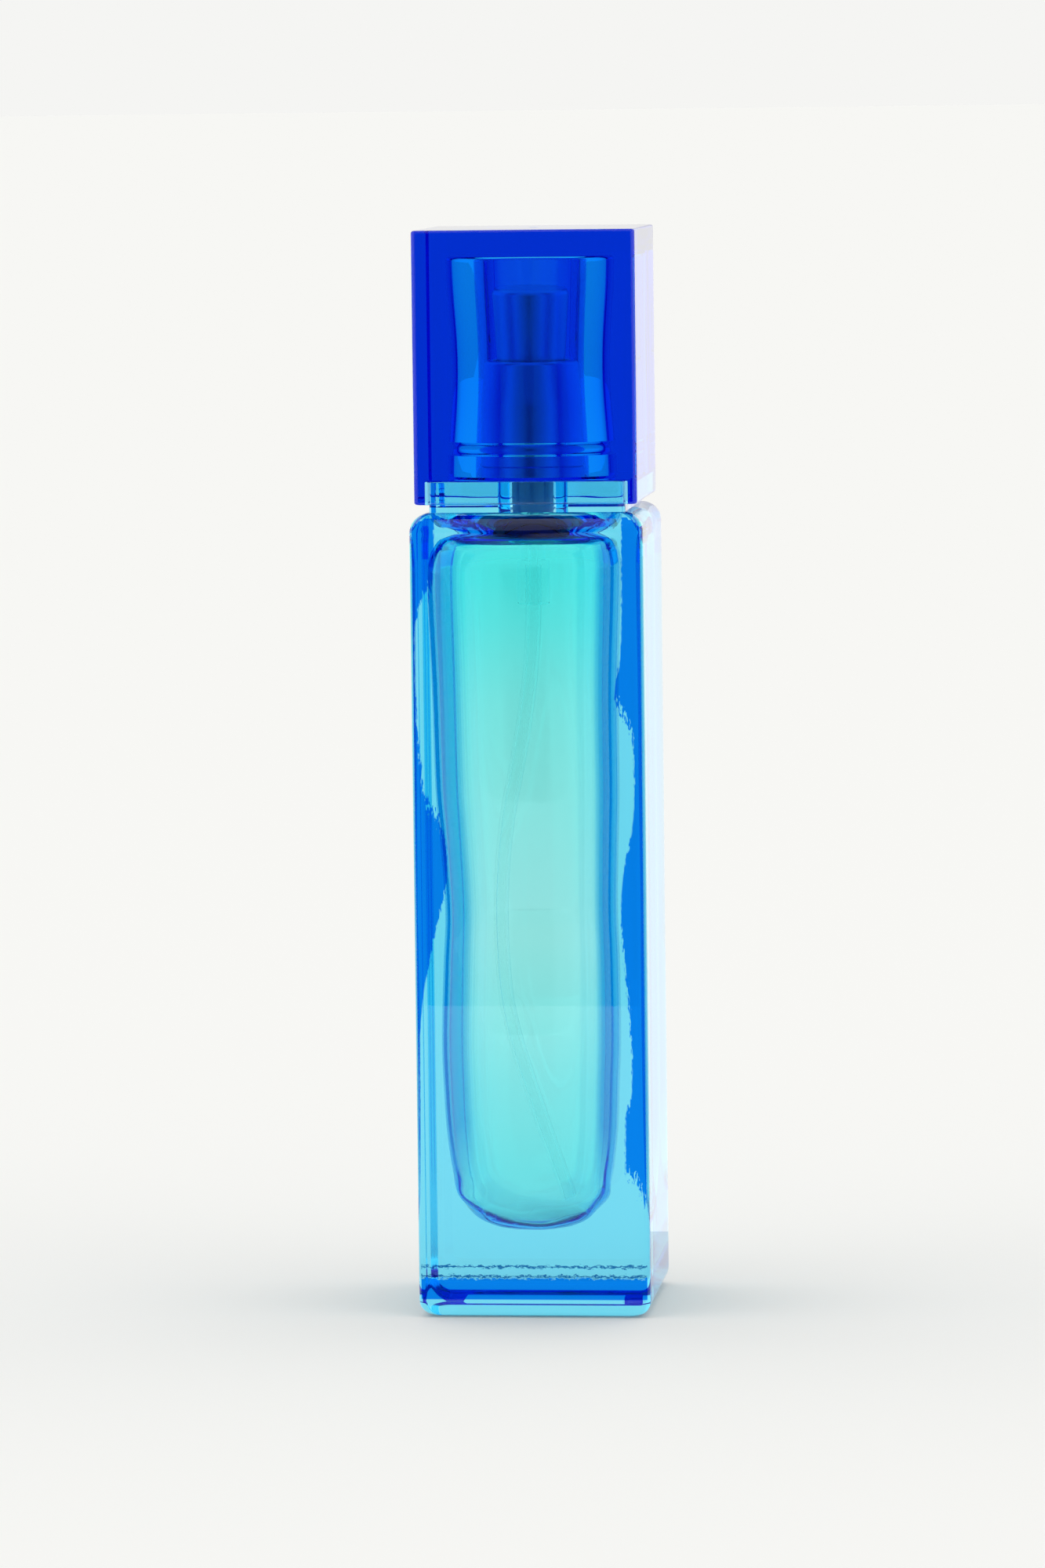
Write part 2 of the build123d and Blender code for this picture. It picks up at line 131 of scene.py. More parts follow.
# Collar: a step at the foot, an almost straight sleeve, and a rim turned in at the top.
COLLAR_WALL_R = 9.7
COLLAR_STEP_Z = 113.2
COLLAR_MOUTH_R = 7.75
COLLAR_RIM_R = 9.35
COLLAR_RIM_EDGE = 0.6
COLLAR_LIP = 0.15

BUTTON_FOOT_R = 6.7
BUTTON_TOP_R = 7.6
BUTTON_EDGE = 0.9
BUTTON_WALL = 0.4

# Nozzle, from the spray hole outwards: radius, depth behind its face.
NOZZLE_PROUD = 0.06
NOZZLE_CONE = [(0.0, -0.7), (0.2, -0.5), (0.2, -0.35), (0.75, 0.0)]
NOZZLE_LENGTH = 1.6

# Pump barrel with its flange and tail socket, once round the wall: radius, height.
BARREL = [(7.3, 120.2), (7.3, 119.2), (4.2, 119.2), (4.2, 104.2), (3.0, 103.0), (1.6, 103.0), (1.6, 100.7),
          (1.7, 100.6), (2.1, 100.6), (2.2, 100.5), (2.2, 94.65), (2.05, 94.5), (1.07, 94.5), (1.07, 99.92),
          (0.5, 99.92), (0.5, 103.6), (1.35, 104.4), (1.35, 106.0), (0.95, 106.0), (0.95, 106.2),
          (3.2, 106.2), (3.2, 120.2), (7.3, 120.2)]

SHARP_DEG = 38  # edges that turn more than this stay crisp

# Dip tube: sideways, height.
TUBE_ROUTE = [(0.0, 99.9), (0.0, 90.0), (-1.6, 77.5), (-4.6, 63.5), (-5.3, 49.5), (-3.7, 35.0), (4.3, 14.4)]
TUBE_R = 1.05
TUBE_WALL = 0.4

# ---------------------------------------------------------------------------------- helpers


def smooth_through(points, steps):
    """Catmull-Rom through the points, with so many steps between each pair."""
    ends = [points[0]] + list(points) + [points[-1]]
    line = []
    for a, b, c, d in zip(ends, ends[1:], ends[2:], ends[3:]):
        for i in range(steps):
            t = i / steps
            line.append(tuple(
                0.5 * (2 * q + (r - p) * t + (2 * p - 5 * q + 4 * r - s) * t * t
                       + (3 * q - p - 3 * r + s) * t ** 3)
                for p, q, r, s in zip(a, b, c, d)))
    line.append(tuple(points[-1]))
    return line


def arc(centre, radius, start, end, steps):
    """Points (across, up) on an arc, angles in degrees."""
    return [(centre[0] + radius * math.cos(math.radians(start + (end - start) * i / steps)),
             centre[1] + radius * math.sin(math.radians(start + (end - start) * i / steps)))
            for i in range(steps + 1)]


def round_ring(bm, radius, height, count):
    """Edge ring of a circle."""
    made = bmesh.ops.create_circle(bm, cap_ends=False, radius=radius, segments=count)
    bmesh.ops.translate(bm, vec=(0, 0, height), verts=made["verts"])
    return sorted({e for v in made["verts"] for e in v.link_edges}, key=lambda e: e.index)


def raise_ring(bm, ring, place):
    """Extrudes an edge ring once, and puts each new vertex where place says."""
    made = bmesh.ops.extrude_edge_only(bm, edges=ring)["geom"]
    for v in made:
        if isinstance(v, bmesh.types.BMVert):
            v.co = place(v.co)
    return [e for e in made if isinstance(e, bmesh.types.BMEdge)]


def turned_shell(bm, outline, steps=128):
    """Spins an open outline of (radius, height) points round Z."""
    verts = [bm.verts.new((r, 0, z)) for r, z in outline]
    edges = [bm.edges.new(pair) for pair in zip(verts, verts[1:])]
    bmesh.ops.spin(bm, geom=verts + edges, cent=(0, 0, 0), axis=(0, 0, 1), dvec=(0, 0, 0),
                   angle=2 * math.pi, steps=steps, use_merge=True, use_duplicate=False)


def border_at(bm, height):
    """Border edges of an open shell at one height."""
    return [e for e in bm.edges if len(e.link_faces) < 2
            and all(abs(v.co.z - height) < 1e-4 for v in e.verts)]


def keep_flats_flat(piece):
    """Lets the large flats set the normals where they run into a rounded edge."""
    weighted = piece.modifiers.new("flats", "WEIGHTED_NORMAL")
    weighted.mode = "FACE_AREA"
    weighted.weight = 100
    weighted.keep_sharp = True


def finish_piece(name, bm, finish, body, nodes):
    """Turns a bmesh in millimetres into a piece that rides on a body and stands for its CAD nodes."""
    bmesh.ops.remove_doubles(bm, verts=bm.verts, dist=1e-4)
    bmesh.ops.recalc_face_normals(bm, faces=bm.faces)
    bmesh.ops.scale(bm, vec=(MM, MM, MM), verts=bm.verts)
    mesh = bpy.data.meshes.new(name)
    bm.to_mesh(mesh)
    bm.free()
    mesh.materials.append(finish)
    mesh.shade_smooth()
    mesh.set_sharp_from_angle(angle=math.radians(SHARP_DEG))
    piece = bpy.data.objects.new(name, mesh)
    scene.collection.objects.link(piece)
    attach(piece, body)
    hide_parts(*nodes)
    return piece


# ---------------------------------------------------------------------------------- materials


def linear(code):
    """An sRGB hex colour as a linear one."""
    parts = [int(code[i:i + 2], 16) / 255 for i in (1, 3, 5)]
    return [p / 12.92 if p <= 0.04045 else ((p + 0.055) / 1.055) ** 2.4 for p in parts] + [1.0]


def add(tree, kind, inputs=None, **settings):
    """Adds a shader node; each input is a value, a socket, or a node whose first output is linked."""
    made = tree.nodes.new("ShaderNode" + kind)
    for key, value in settings.items():
        setattr(made, key, value)
    for key, value in (inputs or {}).items():
        if isinstance(value, bpy.types.Node):
            value = value.outputs[0]
        if isinstance(value, bpy.types.NodeSocket):
            tree.links.new(value, made.inputs[key])
        else:
            made.inputs[key].default_value = value
    return made


# In a Mix node of colours, inputs 6 and 7 are the two colours and output 2 is the mixed one.


def material(name):
    """A new material with only its output node."""
    made = bpy.data.materials.new(name)
    made.use_nodes = True
    made.node_tree.nodes.clear()
    return made, made.node_tree, made.node_tree.nodes.new("ShaderNodeOutputMaterial")


def grain(tree, where, width, height, detail, roughness):
    """Noise in lumps of about this width and height, in millimetres."""
    across, up = 1 / (width * MM), 1 / (height * MM)
    stretch = add(tree, "Mapping", {"Vector": where.outputs["Object"], "Scale": (across, across, up)})
    return add(tree, "TexNoise", {"Vector": stretch, "Scale": 1.0, "Detail": detail, "Roughness": roughness})


# How far the pale panes in the front wall reach: height, distance from the middle. Outward of them the front
# face is painted azure, standing in for light that runs along inside the walls.
LEFT_PANE = [(0, -17), (16.5, -17), (18, -15.2), (21, -15.1), (38, -14.8), (43, -14.3), (48, -13.4),
             (54.5, -11.9), (59.5, -10.9), (63, -11.0), (66, -11.7), (68, -12.6), (69.5, -13.6),
             (74.5, -14.3), (81, -14.8), (91, -14.9), (94.5, -14.3), (96.4, -13.6), (97.5, -12.4),
             (110, -12.0)]
RIGHT_PANE = [(0, 17), (14.5, 17), (15.2, 15.3), (17.8, 14.3), (19.3, 13.0), (20, 12.4), (26.5, 12.4),
              (29.8, 13.3), (34.7, 13.4), (41.3, 13.1), (48, 12.5), (54.5, 12.2), (60, 12.6), (65.8, 13.8),
              (71.2, 14.1), (77.8, 13.9), (80, 13.1), (81.5, 12.2), (83, 11.6), (88, 12.4), (100, 12.7),
              (110, 12.7)]
PANE_TOP = 110.0
PANE_REACH = 20.0
TORN_RISE = 9.0  # how far the torn edges wander upwards and sideways
TORN_SWAY = 0.9
# The band and the two lines over the heel are painted azure and darker blue on the front face, standing in
# for light that runs along inside the glass at the heel.
HEEL_BAND = (2.45, 5.35)  # the azure band over the heel
HEEL_LINES = (6.9, 5.6)
HEEL_WAVE = 1.5
SOLID_GLASS = 14.4  # further out than this there is only wall, and no cavity behind it


def pane_edge(tree, height, points):
    """A curve that gives a pane's edge, in metres from the middle, at a height in metres."""
    share = add(tree, "Math", {0: height, 1: PANE_TOP * MM}, operation="DIVIDE")
    made = add(tree, "FloatCurve", {"Value": share})
    curve = made.mapping.curves[0]
    while len(curve.points) < len(points):
        curve.points.new(0.5, 0.5)
    for point, (z, x) in zip(curve.points, points):
        point.location = (z / PANE_TOP, 0.5 + x / (2 * PANE_REACH))
        point.handle_type = "AUTO_CLAMPED"
    made.mapping.update()
    return add(tree, "MapRange", {"Value": made, "To Min": -PANE_REACH * MM, "To Max": PANE_REACH * MM},
               clamp=False)


def outside_panes(tree, where, place):
    """How far a point lies outward of the two pale panes, into the painted azure; their edges are torn and
    drawn out upwards.
    """
    torn = grain(tree, where, 0.2381, 1.1111, 3.0, 0.6)
    sway = add(tree, "Math", {0: torn, 1: 0.5}, operation="SUBTRACT")
    height = add(tree, "Math", {0: sway, 1: TORN_RISE * MM, 2: place.outputs["Z"]}, operation="MULTIPLY_ADD")
    across = add(tree, "Math", {0: sway, 1: TORN_SWAY * MM, 2: place.outputs["X"]}, operation="MULTIPLY_ADD")
    left = add(tree, "Math", {0: pane_edge(tree, height, LEFT_PANE), 1: across}, operation="SUBTRACT")
    right = add(tree, "Math", {0: across, 1: pane_edge(tree, height, RIGHT_PANE)}, operation="SUBTRACT")
    return add(tree, "Math", {0: left, 1: right}, operation="MAXIMUM")


def heel_wave(tree, where):
    """The unevenness of the band and the lines above the heel."""
    rough = grain(tree, where, 0.6667, 0.2941, 4.0, 0.65)
    centred = add(tree, "Math", {0: rough, 1: 0.5}, operation="SUBTRACT")
    return add(tree, "Math", {0: centred, 1: HEEL_WAVE * MM}, operation="MULTIPLY")


def inside_heel_band(tree, place, wave):
    """How far a point lies inside the azure band above the heel."""
    low = add(tree, "Math", {0: place.outputs["Z"], 1: HEEL_BAND[0] * MM}, operation="SUBTRACT")
    rim = add(tree, "Math", {0: wave, 1: HEEL_BAND[1] * MM}, operation="ADD")
    high = add(tree, "Math", {0: rim, 1: place.outputs["Z"]}, operation="SUBTRACT")
    return add(tree, "Math", {0: low, 1: high}, operation="MINIMUM")


def heel_lines(tree, place, wave):
    """Two thin torn lines over the band, where a darker blue is painted; 1 on them and 0 off them."""
    away = []
    for line_z in HEEL_LINES:
        middle = add(tree, "Math", {0: wave, 1: line_z * MM}, operation="ADD")
        gap = add(tree, "Math", {0: place.outputs["Z"], 1: middle}, operation="SUBTRACT")
        away.append(add(tree, "Math", {0: gap}, operation="ABSOLUTE"))
    nearest = add(tree, "Math", {0: away[0], 1: away[1]}, operation="MINIMUM")
    return add(tree, "MapRange", {"Value": nearest, "From Min": 0.05 * MM, "From Max": 0.20 * MM,
                                  "To Min": 1.0, "To Max": 0.0})


def painted_azure_wall(tree, where, place, side, facing):
    """Painted azure on the front wall, standing in for light that runs along inside the glass; it lies on the
    outside of the front face only, on light's way in.
    """
    flush = add(tree, "Math", {0: facing.outputs["Y"], 1: -0.7}, operation="LESS_THAN")
    coming_in = add(tree, "Math", {0: 1.0, 1: side.outputs["Backfacing"]}, operation="SUBTRACT")
    outer = add(tree, "Math", {0: coming_in, 1: flush}, operation="MULTIPLY")
    wave = heel_wave(tree, where)
    edge = add(tree, "Math", {0: outside_panes(tree, where, place), 1: inside_heel_band(tree, place, wave)},
               operation="MAXIMUM")
    streak = add(tree, "MapRange", {"Value": edge, "From Min": -0.06 * MM, "From Max": 0.10 * MM})
    streak_out = add(tree, "Math", {0: streak, 1: outer}, operation="MULTIPLY")
    line_out = add(tree, "Math", {0: heel_lines(tree, place, wave), 1: outer}, operation="MULTIPLY")
    azure = add(tree, "Mix", {0: streak_out, 6: linear("#ffffff"), 7: linear("#1d97f6")}, data_type="RGBA")
    return add(tree, "Mix", {0: line_out, 6: azure.outputs[2], 7: linear("#3f7cb3")}, data_type="RGBA")


def trapped_light(tree, place, side):
    """The share of light that a face throws back into the glass, in the panes and above the shoulder."""
    thrown = add(tree, "Fresnel", {"IOR": 1.52})
    mirror = add(tree, "MapRange", {"Value": thrown, "From Min": 0.6, "From Max": 1.0})
    inside = add(tree, "Math", {0: mirror, 1: side.outputs["Backfacing"]}, operation="MULTIPLY")
    slant = add(tree, "LayerWeight", {"Blend": 0.5})
    skim = add(tree, "MapRange", {"Value": slant.outputs["Facing"], "From Min": 0.80, "From Max": 0.90,
                                  "To Min": 1.0, "To Max": 0.0})
    steep = add(tree, "Math", {0: inside, 1: skim}, operation="MULTIPLY")
    out_x = add(tree, "Math", {0: place.outputs["X"]}, operation="ABSOLUTE")
    out_y = add(tree, "Math", {0: place.outputs["Y"]}, operation="ABSOLUTE")
    reach = add(tree, "Math", {0: out_x, 1: out_y}, operation="MAXIMUM")
    within = add(tree, "Math", {0: reach, 1: SOLID_GLASS * MM}, operation="LESS_THAN")
    shoulder = add(tree, "Math", {0: place.outputs["Z"], 1: 100 * MM}, operation="GREATER_THAN")
    zone = add(tree, "Math", {0: within, 1: shoulder}, operation="MAXIMUM")
    off_heel = add(tree, "Math", {0: place.outputs["Z"], 1: 5 * MM}, operation="GREATER_THAN")
    held = add(tree, "Math", {0: zone, 1: off_heel}, operation="MULTIPLY")
    return add(tree, "Math", {0: steep, 1: held}, operation="MULTIPLY")


def cavity_sides(tree, place, facing):
    """The cavity's steep sides, 1 on them and 0 elsewhere: they are painted azure, standing in for the light
    they gather from the walls.
    """
    turned = add(tree, "Math", {0: facing.outputs["X"]}, operation="ABSOLUTE")
    steep = add(tree, "MapRange", {"Value": turned, "From Min": 0.68, "From Max": 0.96})
    out_x = add(tree, "Math", {0: place.outputs["X"]}, operation="ABSOLUTE")
    within = add(tree, "Math", {0: out_x, 1: 14.3 * MM}, operation="LESS_THAN")
    over = add(tree, "MapRange", {"Value": place.outputs["Z"], "From Min": 14 * MM, "From Max": 24 * MM})
    under = add(tree, "Math", {0: place.outputs["Z"], 1: 104 * MM}, operation="LESS_THAN")
    wall = add(tree, "Math", {0: steep, 1: within}, operation="MULTIPLY")
    stretch = add(tree, "Math", {0: over, 1: under}, operation="MULTIPLY")
    return add(tree, "Math", {0: wall, 1: stretch}, operation="MULTIPLY")


def mould_ripple(tree, where, place):
    """The ripple that the mould leaves on the shoulder, and a fainter one on the plinth."""
    lumps = grain(tree, where, 11.765, 3.3333, 1.6, 0.5)
    upper = add(tree, "MapRange", {"Value": place.outputs["Z"],
                                   "From Min": 102.5 * MM, "From Max": 105.5 * MM})
    calm = add(tree, "MapRange", {"Value": place.outputs["Z"], "From Min": 107 * MM, "From Max": 108 * MM,
                                  "To Min": 1.0, "To Max": 0.35})
    share = add(tree, "Math", {0: upper, 1: calm}, operation="MULTIPLY")
    swell = add(tree, "Math", {0: lumps, 1: share}, operation="MULTIPLY")
    return add(tree, "Bump", {"Strength": 1.0, "Distance": 0.32 * MM, "Height": swell})


def bottle_glass():
    """Blue flint glass: clear in the middle, and painted azure where light runs along inside the walls."""
    made, tree, out = material("blue_flint_glass")
    side = add(tree, "NewGeometry")
    facing = add(tree, "SeparateXYZ", {0: side.outputs["True Normal"]})
    where = add(tree, "TexCoord")
    place = add(tree, "SeparateXYZ", {0: where.outputs["Object"]})
    wall = painted_azure_wall(tree, where, place, side, facing)
    # Painted azure over the wall's: on light thrown back inside the glass, and on the cavity's steep sides.
    trapped = add(tree, "Mix", {0: trapped_light(tree, place, side), 6: wall.outputs[2],
                                7: linear("#38ceff")}, data_type="RGBA")
    tint = add(tree, "Mix", {0: cavity_sides(tree, place, facing), 6: trapped.outputs[2],
                             7: linear("#21c4f1")}, data_type="RGBA")
    shade = add(tree, "BsdfGlass", {"Color": tint.outputs[2], "Roughness": 0.0, "IOR": 1.52,
                                    "Normal": mould_ripple(tree, where, place)})
    melt = add(tree, "VolumeAbsorption", {"Color": linear("#3fefff"), "Density": 60.0})
    tree.links.new(shade.outputs[0], out.inputs["Surface"])
    tree.links.new(melt.outputs[0], out.inputs["Volume"])
    return made


# The liquid's tint at its wall, by height: deeper towards the floor and the shoulder.
LIQUID_TINTS = [(19, "#adf7fc"), (29, "#c4f8fd"), (40, "#e8fdff"), (50, "#ffffff"), (60, "#f2ffff"),
                (81, "#cbffff"), (92, "#99fdff"), (98, "#81fcff")]
LIQUID_TOP = 100.0


def bottle_liquid():
    """Alcohol and water with a little turquoise dye; its colour at the wall is deeper towards the shoulder
    and the floor.
    """
    made, tree, out = material("turquoise_liquid")
    where = add(tree, "TexCoord")
    place = add(tree, "SeparateXYZ", {0: where.outputs["Object"]})
    level = add(tree, "MapRange", {"Value": place.outputs["Z"], "From Min": 0.0, "From Max": LIQUID_TOP * MM})
    ramp = add(tree, "ValToRGB", {"Fac": level})
    stops = ramp.color_ramp.elements
    while len(stops) < len(LIQUID_TINTS):
        stops.new(0.5)
    for stop, (height, colour) in zip(stops, LIQUID_TINTS):
        stop.position = height / LIQUID_TOP
        stop.color = linear(colour)
    shade = add(tree, "BsdfPrincipled", {
        "Base Color": ramp, "Roughness": 0.0, "IOR": 1.36, "Transmission Weight": 1.0})
    dye = add(tree, "VolumeAbsorption", {"Color": linear("#aafff3"), "Density": 38.0})
    tree.links.new(shade.outputs[0], out.inputs["Surface"])
    tree.links.new(dye.outputs[0], out.inputs["Volume"])
    return made


LINING_R = 11.8
LINING_Z = (111.7, 141.5)


def cap_plastic():
    """Deep blue transparent SAN, moulded and polished; its bore is lined with a second blue coat."""
    made, tree, out = material("deep_blue_san")
    where = add(tree, "TexCoord")
    place = add(tree, "SeparateXYZ", {0: where.outputs["Object"]})
    flat = add(tree, "CombineXYZ", {0: place.outputs["X"], 1: place.outputs["Y"]})
    reach = add(tree, "VectorMath", {0: flat}, operation="LENGTH")
    near = add(tree, "Math", {0: reach.outputs["Value"], 1: LINING_R * MM}, operation="LESS_THAN")
    above = add(tree, "Math", {0: place.outputs["Z"], 1: LINING_Z[0] * MM}, operation="GREATER_THAN")
    below = add(tree, "Math", {0: place.outputs["Z"], 1: LINING_Z[1] * MM}, operation="LESS_THAN")
    between = add(tree, "Math", {0: above, 1: below}, operation="MULTIPLY")
    bore = add(tree, "Math", {0: near, 1: between}, operation="MULTIPLY")
    lining = add(tree, "Mix", {0: bore, 6: linear("#ffffff"), 7: linear("#2773f6")}, data_type="RGBA")
    shade = add(tree, "BsdfPrincipled", {
        "Base Color": lining.outputs[2], "Roughness": 0.0, "IOR": 1.49, "Transmission Weight": 1.0})
    dye = add(tree, "VolumeAbsorption", {"Color": linear("#81e8fd"), "Density": 600.0})
    tree.links.new(shade.outputs[0], out.inputs["Surface"])
    tree.links.new(dye.outputs[0], out.inputs["Volume"])
    return made


def bright_aluminium():
    """Anodised aluminium, drawn and polished: soft pale reflections with faint turning marks round it."""
    made, tree, out = material("bright_anodised_aluminium")
    where = add(tree, "TexCoord")
    marks = grain(tree, where, 2.5, 0.11111, 3.0, 0.5)
    relief = add(tree, "Bump", {"Strength": 0.05, "Distance": 0.05 * MM, "Height": marks})
    shade = add(tree, "BsdfPrincipled", {
        "Base Color": linear("#f2f4f6"), "Metallic": 1.0, "Roughness": 0.32, "Normal": relief})
    tree.links.new(shade.outputs[0], out.inputs["Surface"])
    return made


def natural_polypropylene():
    """Natural polypropylene: milky in the neck with painted blue shade there, and nearly lost in the liquid
    lower down.
    """
    made, tree, out = material("natural_polypropylene")
    where = add(tree, "TexCoord")
    place = add(tree, "SeparateXYZ", {0: where.outputs["Object"]})
    dry = add(tree, "MapRange", {"Value": place.outputs["Z"], "From Min": 103.0 * MM, "From Max": 106.5 * MM})
    milk = add(tree, "MapRange", {"Value": dry, "To Min": 1.0, "To Max": 0.3})
    haze = add(tree, "MapRange", {"Value": dry, "To Min": 0.02, "To Max": 0.5})
    # Painted blue shade on the neck above the liquid, standing in for light that reaches it through the blue
    # glass and cap.
    painted_blue_shade = add(tree, "Mix", {0: dry, 6: linear("#fafdfd"), 7: linear("#7fc0ff")}, data_type="RGBA")
    shade = add(tree, "BsdfPrincipled", {
        "Base Color": painted_blue_shade.outputs[2], "Roughness": haze, "IOR": 1.06, "Transmission Weight": milk})
    tree.links.new(shade.outputs[0], out.inputs["Surface"])
    return made


PLAIN_GRAIN = 0.83333


def plain(name, colour, roughness, metallic=0.0):
    """A plain moulded or drawn finish with a little unevenness in its gloss."""
    made, tree, out = material(name)
    where = add(tree, "TexCoord")
    uneven = grain(tree, where, PLAIN_GRAIN, PLAIN_GRAIN, 2.0, 0.5)
    gloss = add(tree, "MapRange", {"Value": uneven, "To Min": roughness * 0.8, "To Max": roughness * 1.25})
    shade = add(tree, "BsdfPrincipled", {
        "Base Color": linear(colour), "Metallic": metallic, "Roughness": gloss})
    tree.links.new(shade.outputs[0], out.inputs["Surface"])
    return made


# ---------------------------------------------------------------------------------- bottle


def square_rings(bm, sections, corner, cuts):
    """Raises a rounded square through (half width, height) sections; returns its first and last rings."""
    half, height = sections[0]
    bmesh.ops.create_grid(bm, x_segments=1, y_segments=1, size=half)
    bmesh.ops.bevel(bm, geom=bm.verts[:], offset=corner, offset_type="OFFSET", affect="VERTICES",
                    segments=8, profile=0.5, material=-1)
    flats = [e for e in bm.edges if e.calc_length() > half]
    bmesh.ops.subdivide_edges(bm, edges=flats, cuts=cuts)
    bmesh.ops.delete(bm, geom=bm.faces[:], context="FACES_ONLY")
    bmesh.ops.translate(bm, vec=(0, 0, height), verts=bm.verts)
    first = ring = bm.edges[:]
    for wide, up in sections[1:]:
        share = wide / half
        ring = raise_ring(bm, ring, lambda co: Vector((co.x * share, co.y * share, up)))
        half = wide
    return first, ring


def superellipse(angle, power):
    """Distance to a rounded square of half width 1, at an angle."""
    return (abs(math.cos(angle)) ** power + abs(math.sin(angle)) ** power) ** (-1 / power)


def interpolate(sections, height):
    """Half width and drift at a height."""
    for low, high in zip(sections, sections[1:]):
        if low[0] <= height <= high[0]:
            share = (height - low[0]) / (high[0] - low[0])
            return tuple(p + (q - p) * share for p, q in zip(low[1:], high[1:]))


def cavity_wall(section, outset, angle):
    """The point of the cavity's wall at one section, in one direction from its middle."""
    height, half, drift = section
    floor_share = max(0.0, 1 - (height - CAVITY[0][0]) / FLOOR_BLEND)
    uneven = FLOOR_UNEVENNESS * floor_share * math.sin(5 * angle + 1.3 * height + 0.7)
    reach = superellipse(angle, CAVITY_SQUARENESS - FLOOR_ROUNDING * floor_share) * (1 + uneven)
    wide, deep = half + outset, half * CAVITY_DEPTH_SHARE + outset
    return Vector((drift + wide * reach * math.cos(angle), deep * reach * math.sin(angle), height))


def cavity_shell(bm, outset, stop=None):
    """Raises a soft square through the cavity's sections; returns its first and last rings."""
    sections = smooth_through(CAVITY, CAVITY_STEPS)
    sections[0] = (sections[0][0] - outset,) + sections[0][1:]
    if stop is not None:
        sections = [s for s in sections if s[0] < stop] + [(stop,) + interpolate(sections, stop)]
    made = bmesh.ops.create_circle(bm, cap_ends=False, radius=1, segments=128)
    for v in made["verts"]:
        v.co = cavity_wall(sections[0], outset, math.atan2(v.co.y, v.co.x))
    first = ring = list({e for v in made["verts"] for e in v.link_edges})
    for (_, half, drift), section in zip(sections, sections[1:]):
        squeeze = (half * CAVITY_DEPTH_SHARE + outset) / (half + outset)
        ring = raise_ring(bm, ring, lambda co: cavity_wall(
            section, outset, math.atan2(co.y / squeeze, co.x - drift)))
    return first, ring


def make_bottle(glass):
    """The bottle: a thick square body with its plinth, neck and bore, in one mesh with the cavity."""
    bm = bmesh.new()
    sections = [(BODY_HALF - HEEL_R, 0.0)]
    sections += arc((BODY_HALF - HEEL_R, HEEL_R), HEEL_R, -90, 0, 8)[1:]
    tall = SHOULDER_Z - SHOULDER_R - HEEL_R
    sections += [(BODY_HALF, HEEL_R + tall * i / 40) for i in range(1, 40)]
    sections += arc((BODY_HALF - SHOULDER_R, SHOULDER_Z - SHOULDER_R), SHOULDER_R, 0, 78, 8)
    sections += [(PLINTH_HALF, SHOULDER_Z), (PLINTH_HALF, PLINTH_Z - PLINTH_EDGE)]
    sections += arc((PLINTH_HALF - PLINTH_EDGE, PLINTH_Z - PLINTH_EDGE), PLINTH_EDGE, 30, 90, 2)
    base, top = square_rings(bm, sections, BODY_CORNER, 14)

    # the base: a shallow hollow inside the ring that it stands on
    inner = raise_ring(bm, base, lambda co: Vector((co.x * 0.84, co.y * 0.84, 0.0)))
    inner = raise_ring(bm, inner, lambda co: Vector((co.x * 0.96, co.y * 0.96, PUNT_DEPTH)))
    bmesh.ops.holes_fill(bm, edges=inner, sides=0)

    turned_shell(bm, NECK)
    neck_foot = [e for e in border_at(bm, PLINTH_Z) if max(v.co.xy.length for v in e.verts) < 7]
    bmesh.ops.bridge_loops(bm, edges=top + neck_foot)

    floor_ring, roof_ring = cavity_shell(bm, 0.0)
    bmesh.ops.holes_fill(bm, edges=floor_ring, sides=0)
    bmesh.ops.bridge_loops(bm, edges=roof_ring + border_at(bm, BORE_END))
    keep_flats_flat(finish_piece("thick_glass_bottle", bm, glass, "bottle", ["glass_bottle"]))


def make_liquid(liquid):
    """The liquid reaches a hair into the glass, so that light goes straight from one to the other."""
    bm = bmesh.new()
    floor_ring, ring = cavity_shell(bm, LAP, stop=FILL_LEVEL + CLIMB)
    bmesh.ops.holes_fill(bm, edges=floor_ring, sides=0)
    half, drift = interpolate(smooth_through(CAVITY, CAVITY_STEPS), FILL_LEVEL)
    before = 1.0
    for inward, rise in MENISCUS:
        share = (half - inward) / (half + LAP)
        grown = share / before
        before = share
        ring = raise_ring(bm, ring, lambda co: Vector(
            (drift + (co.x - drift) * grown, co.y * grown, FILL_LEVEL + rise)))
    bmesh.ops.holes_fill(bm, edges=ring, sides=0)
    finish_piece("liquid_fill", bm, liquid, "bottle", ["bottle_liquid"])


# ---------------------------------------------------------------------------------- cap


def bore_radius(height):
    """Radius of the cap's bore at a height: it narrows smoothly to its waist."""
    if height > BORE_WAIST_Z:
        end, wide = BORE_TOP, BORE_HEAD_R
    else:
        end, wide = RECESS_TOP, BORE_FOOT_R
    share = min(abs((height - BORE_WAIST_Z) / (end - BORE_WAIST_Z)), 1)
    return BORE_WAIST_R + (wide - BORE_WAIST_R) * (1 - math.cos(math.pi * share)) / 2


def add_recess(bm, low):
    """Adds the square recess in the cap's foot, which drops over the bottle's plinth."""
    recess = bmesh.new()
    rim = arc((RECESS_HALF - RECESS_EDGE, RECESS_TOP - RECESS_EDGE), RECESS_EDGE, 0, 90, 3)[1:]
    square_rings(recess, [(RECESS_HALF, low), (RECESS_HALF, RECESS_TOP - RECESS_EDGE)] + rim, 1.0, 12)
    merge = bpy.data.meshes.new("recess")
    recess.to_mesh(merge)
    recess.free()
    bm.from_mesh(merge)
    bpy.data.meshes.remove(merge)
    bmesh.ops.bridge_loops(bm, edges=border_at(bm, low))


